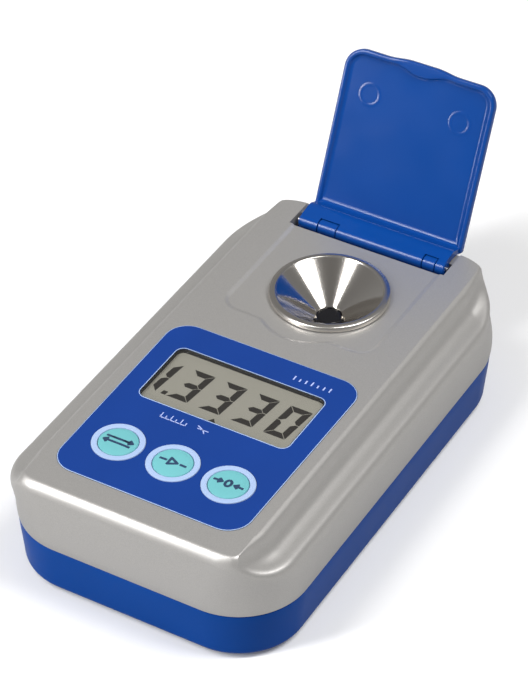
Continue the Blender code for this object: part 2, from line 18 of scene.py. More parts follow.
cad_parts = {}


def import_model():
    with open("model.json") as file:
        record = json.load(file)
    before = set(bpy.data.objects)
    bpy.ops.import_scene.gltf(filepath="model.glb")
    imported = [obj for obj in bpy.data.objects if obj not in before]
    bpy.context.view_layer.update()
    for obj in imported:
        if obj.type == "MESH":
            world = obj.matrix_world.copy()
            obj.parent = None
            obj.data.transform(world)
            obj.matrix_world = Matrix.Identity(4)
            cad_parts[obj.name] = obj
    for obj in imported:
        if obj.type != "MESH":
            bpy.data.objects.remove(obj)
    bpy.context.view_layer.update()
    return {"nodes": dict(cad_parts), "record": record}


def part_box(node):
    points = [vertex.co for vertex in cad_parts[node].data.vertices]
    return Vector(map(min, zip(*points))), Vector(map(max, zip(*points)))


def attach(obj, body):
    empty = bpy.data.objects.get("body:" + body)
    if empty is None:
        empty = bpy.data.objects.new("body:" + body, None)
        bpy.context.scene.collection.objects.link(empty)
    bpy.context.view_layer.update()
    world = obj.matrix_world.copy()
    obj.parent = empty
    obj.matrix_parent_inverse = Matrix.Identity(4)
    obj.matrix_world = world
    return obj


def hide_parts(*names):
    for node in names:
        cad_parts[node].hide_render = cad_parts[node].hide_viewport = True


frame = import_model()

MM = 0.001

# Places and sizes that the frame gives
CASE_Y = sum(corner.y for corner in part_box("top_shell")) / 2 / MM


def case_box(node):
    """A CAD node's lowest and highest corners in the case's coordinates."""
    return [corner / MM - Vector((0, CASE_Y, 0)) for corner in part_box(node)]


def middle(node):
    low, high = case_box(node)
    return (low + high) / 2


def place(point):
    return (Vector(point) + Vector((0, CASE_Y, 0))) * MM


HALF_X, HALF_Y, BASE_TOP = case_box("bottom_shell")[1]
REAR_Y = HALF_Y + 0.2  # the upper shell's outline at the rear
UNDERSIDE_Z = case_box("bottom_shell")[0].z
TOP_Z = case_box("top_shell")[1].z
LABEL_LOW, LABEL_HIGH = case_box("keypad_label")
WINDOW_LOW, WINDOW_HIGH = case_box("display_window")
WELL = middle("sample_well")
WELL_R = case_box("sample_well")[1].x - WELL.x
WELL_TOP_Z = case_box("sample_well")[1].z
PRISM_R = 3.7  # of its round face
PRISM_Z = case_box("prism")[1].z
PIN = middle("hinge_pin")
HINGE_Y, HINGE_Z = PIN.y, PIN.z
DOOR_LOW, DOOR_HIGH = case_box("battery_door")

# Case. Its front end is end -1 and its rear end is end 1
CORNER = {-1: 16.0, 1: 19.0}  # plan radius of the corners at the flat top
LOW_CORNER = {-1: 21.0, 1: 23.5}  # and low down
RIDGE_CORNER = 25.5  # and of the rear ones half way up, where they are roundest
FRONT_TIGHTENS = (21.0, TOP_Z)  # the heights between which the corners change
REAR_OPENS = (18.0, 35.0)
REAR_TIGHTENS = (34.0, TOP_Z)
CORNER_STEPS = 24
LONG_STEPS = 24
SHORT_STEPS = 14
RIDGE_X = 33.7  # half width of the flat top
FLANK_EDGE = 11.5  # how far the flat top stands back from the flank
EDGE = {-1: 2.0, 1: 3.2}  # and from the end walls
CORNER_BLEND = 1.2  # softness of the turn from the flank's ridge to an end's ridge
RISE_POWER = {-1: 3.0, 1: 1.3}  # how late round a corner the flank's scoop fades
RECESS_Z = 38.75  # floor of the shallow recess round the well
TROUGH_HALF_X = 26.0
TROUGH_Y = (61.7, 68.6)
TROUGH_Z = 34.9
SEAT_Z = 38.0  # the ledge behind the trough that stops the open cover

# Cover, in its own frame: X along the pin, Y away from the user, Z up the cover
LEAN_BACK = 23.5
COVER_HALF_X = 24.9
COVER_TOP = 54.0
COVER_FLOOR = 9.05

# Hinge
BARREL_R = 2.2
BORE_R = 0.9
KNUCKLES = ((-17.8, -11.8), (17.5, 21.5))  # the bracket's two fixed knuckles, along X
KNUCKLE_GAP = 0.3

CORNERS = ("left_front", "left_rear", "right_front", "right_rear")
BUTTONS = ("scale", "read", "zero")
BUTTON_R = 5.7
BUTTON_CROWN = 0.16  # fall of the cap's crown to its shoulder, SHOULDER radians off its middle
SHOULDER = 1.2
RING_R = 7.4
SIGN_STROKE = 0.78


# -------- meshes


def smoothstep(value):
    value = min(max(value, 0.0), 1.0)
    return value * value * (3 - 2 * value)


def eased(value, start, end):
    """A smooth rise from 0 at the start to 1 at the end."""
    return smoothstep((value - start) / (end - start))


def soft_max(a, b, blend):
    return 0.5 * (a + b + math.sqrt((a - b) ** 2 + blend**2))


def curve_through(points, steps):
    """A smooth open curve through a list of points of any dimension (Catmull-Rom)."""
    points = [Vector(point) for point in points]
    ends = [points[0] * 2 - points[1], *points, points[-1] * 2 - points[-2]]
    result = [points[0]]
    for i in range(1, len(ends) - 2):
        a, b, c, d = ends[i - 1 : i + 3]
        for step in range(1, steps + 1):
            t = step / steps
            twice = b * 2 + (c - a) * t + (a * 2 - b * 5 + c * 4 - d) * t**2
            result.append((twice + (b * 3 - a - c * 3 + d) * t**3) / 2)
    return result


def rounded_rectangle(x_range, y_range, radius, steps=10):
    """Points anticlockwise round a rounded rectangle."""
    corners = ((x_range[1], y_range[1], 0), (x_range[0], y_range[1], 90))
    corners += ((x_range[0], y_range[0], 180), (x_range[1], y_range[0], 270))
    points = []
    for x, y, start in corners:
        centre_x = x - math.copysign(radius, x - sum(x_range) / 2)
        centre_y = y - math.copysign(radius, y - sum(y_range) / 2)
        for step in range(steps + 1):
            angle = math.radians(start + 90 * step / steps)
            points.append((centre_x + radius * math.cos(angle), centre_y + radius * math.sin(angle)))
    return points


def inset(outline, distance):
    """An anticlockwise outline moved inwards along its own normals."""
    moved = []
    for i, point in enumerate(outline):
        before, after = Vector(outline[i - 1]), Vector(outline[(i + 1) % len(outline)])
        along = (after - before).normalized()
        moved.append((point[0] - along.y * distance, point[1] + along.x * distance))
    return moved


def solid(name, points, faces, parent_matrix=None):
    """An object from points in case millimetres, or in the frame that parent_matrix gives."""
    matrix = parent_matrix or Matrix()
    mesh = bpy.data.meshes.new(name)
    mesh.from_pydata([place(matrix @ Vector(point)) for point in points], [], faces)
    build = bmesh.new()
    build.from_mesh(mesh)
    bmesh.ops.remove_doubles(build, verts=build.verts, dist=1e-6)
    bmesh.ops.recalc_face_normals(build, faces=build.faces)
    build.to_mesh(mesh)
    build.free()
    made = bpy.data.objects.new(name, mesh)
    bpy.context.scene.collection.objects.link(made)
    return made


def bands(rows, count, closed=False):
    """The faces between rows of points, and from the last row to the first when closed."""
    faces = []
    for row in range(rows if closed else rows - 1):
        low, high = row * count, (row + 1) % rows * count
        for i in range(count):
            j = (i + 1) % count
            faces.append([low + i, low + j, high + j, high + i])
    return faces


def caps(rows, count):
    return [list(range(count)), [(rows - 1) * count + i for i in range(count)]]


def loft(name, rings, matrix=None):
    """A closed solid through rings of equal length, with a flat cap on the first and the last."""
    size = len(rings), len(rings[0])
    return solid(name, [point for ring in rings for point in ring], caps(*size) + bands(*size), matrix)


def outline_rings(outline, profile):
    """Rings of one outline, each moved in by an inset and set at a height."""
    return [[(*point, z) for point in inset(outline, step)] for step, z in profile]


def stack(name, outline, profile):
    return loft(name, outline_rings(outline, profile))


def box(name, x_range, y_range, z_range, matrix=None):
    outline = [(x_range[1], y_range[1]), (x_range[0], y_range[1])]
    outline += [(x_range[0], y_range[0]), (x_range[1], y_range[0])]
    return loft(name, [[(*point, z) for point in outline] for z in z_range], matrix)


def extruded_x(name, section, x_range, matrix=None):
    """A (y, z) section, run along X."""
    return loft(name, [[(x, y, z) for y, z in section] for x in x_range], matrix)


def turned(name, profile, centre, steps=96, axis="Z", matrix=None):
    """(radius, height) pairs turned round an axis. A profile that ends where it starts is a ring."""
    spin = {"Z": Matrix(), "X": Matrix.Rotation(math.pi / 2, 4, "Y")}[axis]
    ring = tuple(profile[0]) == tuple(profile[-1])
    rows = profile[:-1] if ring else profile
    points = []
    for radius, height in rows:
        for step in range(steps):
            angle = 2 * math.pi * step / steps
            local = Vector((radius * math.cos(angle), radius * math.sin(angle), height))
            points.append(spin @ local + Vector(centre))
    faces = bands(len(rows), steps, closed=ring)
    if not ring:
        faces += caps(len(rows), steps)
    return solid(name, points, faces, matrix)


def arc(centre, radius, start, end, steps=6):
    """Points on an arc in a plane, from one angle to another in degrees."""
    angles = [math.radians(start + (end - start) * step / steps) for step in range(steps + 1)]
    x, y = centre
    return [(x + radius * math.cos(angle), y + radius * math.sin(angle)) for angle in angles]


def combine(target, tools, operation="DIFFERENCE"):
    """Adds or cuts solids for good, and removes the tools."""
    for tool in tools:
        step = target.modifiers.new(tool.name, "BOOLEAN")
        step.operation = operation
        step.solver = "EXACT"
        step.object = tool
    bpy.context.view_layer.update()
    result = target.evaluated_get(bpy.context.evaluated_depsgraph_get())
    mesh = bpy.data.meshes.new_from_object(result)
    target.modifiers.clear()
    target.data = mesh
    for tool in tools:
        bpy.data.objects.remove(tool)
    return target


def merged(name, pieces):
    """Several separate solids as one object."""
    build = bmesh.new()
    for piece in pieces:
        build.from_mesh(piece.data)
        bpy.data.objects.remove(piece)
    mesh = bpy.data.meshes.new(name)
    build.to_mesh(mesh)
    build.free()
    made = bpy.data.objects.new(name, mesh)
    bpy.context.scene.collection.objects.link(made)
    return made


def dress(piece, slot, body="case", stands_for=(), sharp=32, skin=None):
    """Gives a finished solid its shading and material, and hangs it on its body. The material is the
    slot's own, unless a skin is given."""
    build = bmesh.new()
    build.from_mesh(piece.data)
    bmesh.ops.remove_doubles(build, verts=build.verts, dist=2e-6)
    bmesh.ops.dissolve_degenerate(build, edges=build.edges, dist=1e-6)
    build.to_mesh(piece.data)
    build.free()
    piece.data.shade_smooth()
    piece.data.set_sharp_from_angle(angle=math.radians(sharp))
    normals = piece.modifiers.new("flat faces stay flat", "WEIGHTED_NORMAL")
    normals.keep_sharp = True
    normals.weight = 50
    piece.data.materials.clear()
    piece.data.materials.append(skin or SKINS[slot])
    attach(piece, body)
    if stands_for:
        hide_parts(*stands_for)
    return piece


def ring_piece(name, rings, slot, stands_for=()):
    """A closed band through rings, the last of which meets the first."""
    points = [point for ring in rings for point in ring]
    faces = bands(len(rings), len(rings[0]), closed=True)
    return dress(solid(name, points, faces), slot, stands_for=stands_for)


# -------- materials


class Skin:
    """A Principled material and short ways to add nodes to it."""

    def __init__(self, name, colour, roughness, metallic=0.0):
        self.material = bpy.data.materials.new(name)
        self.material.use_nodes = True
        self.tree = self.material.node_tree
        self.shader = self.tree.nodes["Principled BSDF"]
        self.colour = colour
        self.shader.inputs["Base Color"].default_value = (*colour, 1.0)
        self.shader.inputs["Roughness"].default_value = roughness
        self.shader.inputs["Metallic"].default_value = metallic
        self.place = self.node("ShaderNodeTexCoord").outputs["Object"]

    def node(self, kind, **settings):
        made = self.tree.nodes.new(kind)
        for name, value in settings.items():
            setattr(made, name, value)
        return made

    def link(self, source, target):
        self.tree.links.new(source, target)

    def set(self, **values):
        for name, value in values.items():
            self.shader.inputs[name.replace("_", " ")].default_value = value
        return self

    def noise(self, size_mm, detail=3.0, squash=(1, 1, 1)):
        """Noise whose features are about size_mm across."""
        spread = self.node("ShaderNodeMapping")
        spread.inputs["Scale"].default_value = squash
        texture = self.node("ShaderNodeTexNoise")
        texture.inputs["Scale"].default_value = 1 / (size_mm * MM)
        texture.inputs["Detail"].default_value = detail
        self.link(self.place, spread.inputs["Vector"])
        self.link(spread.outputs["Vector"], texture.inputs["Vector"])
        return texture.outputs["Fac"]

    def ranged(self, source, low, high, start, end):
        """From low to high, as the source goes from start to end."""
        mapped = self.node("ShaderNodeMapRange")
        limits = {"From Min": start, "From Max": end, "To Min": low, "To Max": high}
        for name, value in limits.items():
            mapped.inputs[name].default_value = value
        self.link(source, mapped.inputs["Value"])
        return mapped.outputs["Result"]

    def vary_roughness(self, source, low, high, start=0.3, end=0.7):
        self.link(self.ranged(source, low, high, start, end), self.shader.inputs["Roughness"])
        return self

    def vary_colour(self, source, darker, lighter):
        """The base colour, from darker to lighter times its value, following a texture."""
        ramp = self.node("ShaderNodeValToRGB")
        ramp.color_ramp.elements[0].position = 0.35
        ramp.color_ramp.elements[1].position = 0.65
        for element, share in zip(ramp.color_ramp.elements, (darker, lighter)):
            element.color = (*(min(1.0, channel * share) for channel in self.colour), 1.0)
        self.link(source, ramp.inputs["Fac"])
        self.link(ramp.outputs["Color"], self.shader.inputs["Base Color"])
        return self

    def bump(self, source, height_mm):
        relief = self.node("ShaderNodeBump")
        relief.inputs["Distance"].default_value = height_mm * MM
        relief.inputs["Strength"].default_value = 1.0
        self.link(source, relief.inputs["Height"])
        self.link(relief.outputs["Normal"], self.shader.inputs["Normal"])
        return self


def moulded(name, colour, roughness, grain_mm=0.35, grain_height=0.002, specular=0.5):
    """Moulded plastic: a fine grain, and a slow change of gloss and tone across the piece."""
    skin = Skin(name, colour, roughness).set(Specular_IOR_Level=specular)
    skin.vary_colour(skin.noise(18.0, 1.0), 0.975, 1.025)
    skin.vary_roughness(skin.noise(12.0, 1.0), roughness - 0.02, roughness + 0.02)
    skin.bump(skin.noise(grain_mm, 1.0), grain_height)
    return skin.material


def silver_paint():
    """Metallic paint: small flakes that catch the light, over a faint orange peel."""
    skin = Skin("silver_paint", (0.5, 0.487, 0.47), 0.4, 0.6)
    skin.vary_colour(skin.noise(0.16, 1.0), 0.93, 1.07)
    skin.vary_roughness(skin.noise(0.5, 2.0), 0.37, 0.43)
    skin.bump(skin.noise(0.9, 2.0), 0.002)
    return skin.material


def turned_steel():
    """Bright turned steel, with fine tool marks round the well's axis."""
    skin = Skin("polished_steel", (0.66, 0.63, 0.59), 0.12, 1.0)
    centre = place((WELL.x, WELL.y, 0))
    offset = skin.node("ShaderNodeVectorMath", operation="SUBTRACT")
    offset.inputs[1].default_value = centre
    skin.link(skin.place, offset.inputs[0])
    flat = skin.node("ShaderNodeVectorMath", operation="MULTIPLY")
    flat.inputs[1].default_value = (1, 1, 0)
    skin.link(offset.outputs["Vector"], flat.inputs[0])
    distance = skin.node("ShaderNodeVectorMath", operation="LENGTH")
    skin.link(flat.outputs["Vector"], distance.inputs[0])
    rounds = skin.node("ShaderNodeMath", operation="MULTIPLY")
    tool_mark = 0.16 * MM
    rounds.inputs[1].default_value = 2 * math.pi / tool_mark
    skin.link(distance.outputs["Value"], rounds.inputs[0])
    wave = skin.node("ShaderNodeMath", operation="SINE")
    skin.link(rounds.outputs["Value"], wave.inputs[0])
    skin.bump(wave.outputs["Value"], 0.0006)
    # The cone is bright and the rim, outside it, satin
    skin.vary_roughness(distance.outputs["Value"], 0.12, 0.27, 15.4 * MM, 16.2 * MM)
    return skin.material


def metal(name, colour, roughness):
    skin = Skin(name, colour, roughness, 1.0)
    skin.vary_roughness(skin.noise(0.8), roughness - 0.05, roughness + 0.08)
    skin.bump(skin.noise(0.3, 2.0, (1, 6, 1)), 0.002)
    return skin.material


def clear_film():
    """The label's clear window: almost invisible but for its gloss."""
    skin = Skin("clear_plastic", (0.1, 0.1, 0.1), 0.12).set(Alpha=0.05, IOR=1.45)
    skin.bump(skin.noise(6.0, 1.0), 0.002)
    return skin.material


def liquid_crystal():
    skin = Skin("display_glass", (0.3, 0.29, 0.245), 0.35)
    skin.vary_colour(skin.noise(0.25, 2.0), 0.97, 1.03)
    skin.vary_roughness(skin.noise(5.0), 0.3, 0.4)
    return skin.material


def circuit_board():
    """Green solder mask over traces that show as paler lines."""
    skin = Skin("green_board", (0.012, 0.11, 0.04), 0.3)
    lines = skin.node("ShaderNodeTexBrick")
    looks = {"Color1": (0.012, 0.11, 0.04, 1), "Color2": (0.016, 0.13, 0.05, 1)}
    looks.update(Mortar=(0.03, 0.2, 0.07, 1), Scale=160.0)
    for name, value in looks.items():
        lines.inputs[name].default_value = value
    skin.link(skin.place, lines.inputs["Vector"])
    skin.link(lines.outputs["Color"], skin.shader.inputs["Base Color"])
    skin.bump(lines.outputs["Fac"], 0.02)
    return skin.material


SKINS = {
    "silver_paint": silver_paint(),
    "blue_plastic": moulded("blue_plastic", (0.003, 0.054, 0.272), 0.13, 2.5, 0.001, specular=0.25),
    "blue_label": moulded("blue_label", (0.005, 0.042, 0.245), 0.4, 0.5, 0.001, specular=0.3),
    "turquoise_caps": moulded("turquoise_caps", (0.15, 0.47, 0.5), 0.5, 0.4, 0.002),
    "pale_rings": moulded("pale_rings", (0.38, 0.5, 0.74), 0.45, 0.4, 0.001),
    "clear_plastic": clear_film(),
    "display_glass": liquid_crystal(),
    "black_plastic": moulded("black_plastic", (0.012, 0.012, 0.013), 0.5, 0.3, 0.01),
    "black_rubber": moulded("black_rubber", (0.018, 0.018, 0.018), 0.78, 0.3, 0.02),
    "green_board": circuit_board(),
    "brass": metal("brass", (0.7, 0.48, 0.19), 0.28),
    "amber_flex": moulded("amber_flex", (0.42, 0.18, 0.02), 0.35, 0.6, 0.003),
    "polished_steel": turned_steel(),
    "optical_glass": moulded("optical_glass", (0.006, 0.006, 0.008), 0.06, 4.0, 0.001),
    "lamp_lens": moulded("lamp_lens", (0.85, 0.8, 0.5), 0.15),
    "chip_resin": moulded("chip_resin", (0.02, 0.02, 0.022), 0.45, 0.15, 0.006),
    "battery_sleeve": moulded("battery_sleeve", (0.13, 0.14, 0.16), 0.3),
    "nickel_plate": metal("nickel_plate", (0.6, 0.57, 0.52), 0.22),
    "plain_steel": metal("plain_steel", (0.52, 0.52, 0.53), 0.28),
}
# The blue plastic with less gloss, for the lower shell
LOWER_PLASTIC = moulded("lower_plastic", (0.003, 0.058, 0.3), 0.3, 1.5, 0.001, specular=0.06)
INK = moulded("dark_ink", (0.02, 0.05, 0.11), 0.5, 0.3, 0.001)
LCD_INK = moulded("display_segments", (0.022, 0.019, 0.016), 0.4, 0.3, 0.001)
PALE_INK = moulded("pale_ink", (0.42, 0.5, 0.85), 0.5, 0.3, 0.001)


# -------- case


def corner_radii(height):
    """Plan radii of the front and rear corners at a height. They get tighter towards the flat top, the
    rear ones after they have opened out half way up."""
    front = LOW_CORNER[-1] + (CORNER[-1] - LOW_CORNER[-1]) * eased(height, *FRONT_TIGHTENS)
    rear = LOW_CORNER[1] + (RIDGE_CORNER - LOW_CORNER[1]) * eased(height, *REAR_OPENS)
    rear += (CORNER[1] - RIDGE_CORNER) * eased(height, *REAR_TIGHTENS)
    return {-1: front, 1: rear}


def case_stations(radii=LOW_CORNER):
    """The case's outline with corners of these radii, as (point, inward normal, angle off the long
    side, end), anticlockwise."""
    stations = []
    ends = {-1: -HALF_Y, 1: REAR_Y}
    for start, sign_x, end in ((0, 1, 1), (90, -1, 1), (180, -1, -1), (270, 1, -1)):
        radius = radii[end]
        centre = Vector((sign_x * (HALF_X - radius), ends[end] - end * radius))
        for step in range(CORNER_STEPS + 1):
            angle = math.radians(start + 90 * step / CORNER_STEPS)
            out = Vector((math.cos(angle), math.sin(angle)))
            stations.append((centre + radius * out, -out, math.asin(min(1.0, abs(out.y))), end))
        # The straight side that follows this corner
        along_y = start in (90, 270)
        steps = LONG_STEPS if along_y else SHORT_STEPS
        ahead = math.radians(start + 90)
        inward = -Vector((round(math.cos(ahead)), round(math.sin(ahead))))
        first, last = centre.y, ends[-end] + end * radii[-end]
        for step in range(1, steps):
            if along_y:
                spot = (sign_x * HALF_X, first + (last - first) * step / steps)
            else:
                spot = (centre.x * (1 - 2 * step / steps), ends[end])
            stations.append((Vector(spot), inward, 0.0 if along_y else math.pi / 2, end))
    return stations


# Outer profiles of the upper shell from the parting line to the flat top, as (inset, height)
FLANK = [(0.0, 17.25), (-0.35, 19.5), (-0.45, 23.0), (-0.2, 27.0), (0.15, 29.2), (0.7, 30.8)]
FLANK += [(1.6, 31.85), (2.9, 32.35), (5.0, 32.7), (6.9, 33.6), (8.3, 35.3), (9.3, 37.3)]
FLANK += [(10.1, 38.6), (FLANK_EDGE, TOP_Z)]
FRONT = [(0.0, 17.25), (-0.35, 19.5), (-0.45, 23.0), (-0.5, 29.0), (-0.5, 33.5), (-0.5, 35.7)]
FRONT += [(-0.44, 36.41), (-0.25, 37.1), (0.05, 37.75), (0.46, 38.34), (0.95, 38.83), (1.3, 39.07)]
FRONT += [(1.65, 39.22), (EDGE[-1], TOP_Z)]
REAR = [(0.0, 17.25), (-0.35, 19.5), (-0.45, 23.0), (-0.1, 27.5), (0.2, 31.0), (0.5, 33.5)]
REAR += [(0.75, 35.0), (1.05, 36.2), (1.4, 37.2), (1.8, 38.0), (2.2, 38.6), (2.5, 38.93)]
REAR += [(2.82, 39.18), (EDGE[1], TOP_Z)]
PROFILE_STEPS = 3
FLANK, FRONT, REAR = (curve_through(profile, PROFILE_STEPS) for profile in (FLANK, FRONT, REAR))
WALL = {-1: FRONT, 1: REAR}


def shell_point(spot, inward, angle, end, row):
    """One point of the upper shell's outer face. Round the corner the flank's scoop gives way to the
    plain wall of the front or rear end, and the flank's ridge runs straight on to the end's ridge."""
    wall, edge, corner = WALL[end][row], EDGE[end], CORNER[end]
    to_ridge = corner - (HALF_X - RIDGE_X)
    straight = corner - to_ridge / max(math.cos(angle), 0.05)
    share = (soft_max(straight, edge, CORNER_BLEND) - edge) / (FLANK_EDGE - edge)
    share = min(max(share, 0.0), 1.0)
    meets = math.acos(to_ridge / (corner - edge))
    rise = min(angle / meets, 1.0) ** RISE_POWER[end]
    spot = spot + inward * (wall[0] + (FLANK[row][0] - wall[0]) * share)
    return (spot.x, spot.y, FLANK[row][1] + (wall[1] - FLANK[row][1]) * rise)


def shell_ring(row):
    """One ring of the upper shell's outer face."""
    stations = case_stations(corner_radii(FRONT[row][1]))
    return [shell_point(*station, row) for station in stations]


def case_rings(profile):
    """Rings of the parting outline, each moved in by an inset and set at a height."""
    stations = case_stations()
    return [[(*(spot + inward * step), z) for spot, inward, _, _ in stations] for step, z in profile]


def label_outline(grow=0.0):
    """The label widens a little towards the display."""
    low, high = LABEL_LOW, LABEL_HIGH
    span_y = (low.y - grow, high.y + grow)
    outline = rounded_rectangle((low.x - grow, high.x + grow), span_y, 7.0 + grow, 12)
    return [(x * (0.992 + 0.022 * (y - low.y) / (high.y - low.y)), y) for x, y in outline]


def window_outline(grow, radius):
    """Round the label's opening, which is wider than the window by 0.3 all round."""
    grow = grow + 0.3
    span_x = (WINDOW_LOW.x - grow, WINDOW_HIGH.x + grow)
    span_y = (WINDOW_LOW.y - grow, WINDOW_HIGH.y + grow)
    return rounded_rectangle(span_x, span_y, radius, 8)


def recess_outline():
    """The recess round the well: rounded corners, and a bay in its front edge that follows the well."""
    half_x, front, rear, radius = 25.3, 16.6, 64.0, 6.0
    bay_r, bay_front, bay_blend = 15.9, 12.2, math.sqrt(0.4)
    side_steps, front_steps = 12, 60
    side = [(rear - front - radius) * step / side_steps for step in range(1, side_steps)]
    outline = [(half_x, rear), (-half_x, rear)]
    outline += [(-half_x, rear - along) for along in side]
    outline += arc((radius - half_x, front + radius), radius, 180, 270, 10)
    for step in range(1, front_steps):
        x = (half_x - radius) * (2 * step / front_steps - 1)
        bay = bay_front + bay_r - math.sqrt(max(bay_r**2 - x**2, 1.0))
        outline.append((x, -soft_max(-bay, -front, bay_blend)))
    outline += arc((half_x - radius, front + radius), radius, 270, 360, 10)
    outline += [(half_x, front + radius + along) for along in side]
    return outline


def hinge_trough():
    """The trough's section with its rounded front lip, and behind it the ledge that slopes down under
    the open cover."""
    front, rear = TROUGH_Y
    above, behind = 47.0, 80.0
    lip_r = 0.4
    lip = arc((front - lip_r, RECESS_Z - lip_r), lip_r, 0, 84, 5)
    section = [(front, TROUGH_Z), *lip, (front - 0.5, above), (behind, above)]
    section += [(behind, SEAT_Z - 1.8), (rear + 4.0, SEAT_Z), (rear, SEAT_Z), (rear, TROUGH_Z)]
    return extruded_x("trough", section, (-TROUGH_HALF_X, TROUGH_HALF_X))


def recess_profile():
    """The recess's soft step, as (inset, height), and on up clear of the shell."""
    depth, width, steps = TOP_Z - RECESS_Z, 1.9, 8
    profile = []
    for step in range(steps + 1):
        share = step / steps
        profile.append((width * (1 - share), RECESS_Z + depth * smoothstep(share)))
    return profile + [(-0.05, TOP_Z + 0.01), (-0.05, TOP_Z + 6)]


def top_shell():
    """The silver upper shell: its hollow underside, outer face, and every opening in its top."""
    inner = [(3.8, 29.0), (3.4, 28.4), (3.0, 17.7), (3.0, 17.4), (2.8, 17.25)]
    rings = case_rings(inner) + [shell_ring(row) for row in range(len(FLANK))]
    shell = loft("silver_case", rings)

    board_bay = rounded_rectangle((-31.2, 31.2), (-70.5, 57.0), 4.0, 3)
    below, above = 30.0, 44.0
    cuts = [stack("bay", board_bay, [(0, 20.0), (0, 36.8)])]
    cuts.append(stack("label", label_outline(0.3), [(0, LABEL_LOW.z - 0.3), (0, TOP_Z + 6)]))
    cuts.append(stack("window", window_outline(1.2, 3.7), [(0, below), (0, above)]))
    for name in BUTTONS:
        x, y = middle(f"button_{name}").xy
        cuts.append(turned("button", [(6.05, below), (6.05, above)], (x, y, 0), 48))
    cuts.append(stack("recess", recess_outline(), recess_profile()))
    cuts.append(turned("well", [(16.4, below), (16.4, 45.5)], (WELL.x, WELL.y, 0), 96))
    cuts.append(hinge_trough())
    combine(shell, cuts)
    dress(shell, "silver_paint", stands_for=["top_shell"], sharp=28)


def bottom_shell():
    """The blue lower shell: a drafted wall, a soft lower edge, and a bead along the parting line."""
    top = BASE_TOP
    outer = [(9.0, UNDERSIDE_Z), (5.0, UNDERSIDE_Z), *arc((3.5, 3.2), 2.3, 270, 180, 10)]
    outer += [(0.88, 6.8), (0.55, 10.5), (0.25, 13.4), (0.08, 15.9), (0.1, top - 0.15), (0.25, top)]
    inner = [(3.0, top), (3.9, 6.0), (4.6, 4.2), (5.8, 3.4)]
    base = loft("blue_base", case_rings(outer + inner))
    door_x, door_y = DOOR_HIGH.x + 0.3, (DOOR_LOW.y - 0.3, DOOR_HIGH.y + 0.55)
    cuts = [box("door", (-door_x, door_x), door_y, (0.0, 3.0))]
    cuts.append(box("bay", (-13.4, 13.4), (DOOR_LOW.y + 2.4, DOOR_HIGH.y - 2.4), (0.5, 12.0)))
    screw_hole = [(3.6, -1.2), (3.6, 0.8), (3.3, 1.2), (3.3, 8.0)]
    foot_hole = [(5.3, -1.4), (5.3, 1.8)]
    for corner in CORNERS:
        screw, foot = middle(f"case_screw_{corner}"), middle(f"foot_{corner}")
        cuts.append(turned("head", screw_hole, (screw.x, screw.y, 0), 40))
        cuts.append(turned("foot", foot_hole, (foot.x, foot.y, 0), 48))
    combine(base, cuts)
    dress(base, "blue_plastic", stands_for=["bottom_shell"], sharp=34, skin=LOWER_PLASTIC)


# -------- label, display and buttons


def label():
    """The film with its openings, a pale line round its outer cut edge, and a pale ring round its
    window opening that is a painted highlight on that opening's edge.
    """
    low, top = LABEL_LOW.z, LABEL_HIGH.z
    profile = [(0, low), (0, top - 0.14), (0.05, top - 0.05), (0.16, top)]
    sheet = stack("label_film", label_outline(), profile)
    below, above = 38.0, 44.0
    cuts = [stack("window", window_outline(0.0, 2.6), [(0, below), (0, above)])]
    for name in BUTTONS:
        x, y = middle(f"button_{name}").xy
        cuts.append(turned("button", [(7.7, below), (7.7, above)], (x, y, 0), 72))
    combine(sheet, cuts)
    dress(sheet, "blue_label", stands_for=["keypad_label"])

    edge = [(0, TOP_Z + 0.02), (0.05, top - 0.1), (0.2, top - 0.06)]
    rings = outline_rings(label_outline(0.16), edge + [(0.12, low + 0.3), (0.0, low + 0.3)])
    ring_piece("label_edge", rings, "pale_rings")
    # A pale ring round the window opening: a painted highlight on the opening's edge, the same all the
    # way round.
    rings = []
    edge = [(0.0, 2.5, -0.3), (0.0, 2.5, 0.0), (0.06, 2.6, 0.04), (0.2, 2.75, 0.04)]
    for grow, radius, rise in edge + [(0.26, 2.8, 0.0), (0.26, 2.8, -0.3)]:
        rings.append([(*point, top + rise) for point in window_outline(grow, radius)])
    ring_piece("window_edge_highlight", rings, "pale_rings")


def window():
    """The clear window, the black liner under it, and the display."""
    low, top = WINDOW_LOW.z, WINDOW_HIGH.z
    film = stack("clear_window", window_outline(-0.3, 2.2), [(0, low), (0, top - 0.08), (0.1, top)])
    dress(film, "clear_plastic", stands_for=["display_window"])

    liner = [(0.9, 36.3), (0.9, 38.5), (0.7, 38.65), (-0.02, 38.65), (-0.02, 39.3), (-0.07, 39.35)]
    liner += [(-0.2, 39.35), (-0.25, 39.3), (-0.25, 38.2), (0.1, 38.2), (0.1, 36.3)]
    rings = [[(*point, z) for point in window_outline(grow, 2.5 + grow)] for grow, z in liner]
    ring_piece("display_liner", rings, "black_plastic", stands_for=["display_frame"])

    low, top = (corner.z for corner in case_box("display_glass"))
    glass = stack("display_panel", window_outline(-0.2, 2.3), [(0, low), (0, top - 0.1), (0.1, top)])
    dress(glass, "display_glass", stands_for=["display_glass"])
    digits(top)


SEGMENTS = {"0": "abcdef", "1": "bc", "3": "abcdg"}
DIGIT_WIDTH, DIGIT_HEIGHT, DIGIT_PITCH = 6.9, 13.6, 10.45
STROKE = 2.05
SEGMENT_GAP = 0.13
SLANT = 0.11


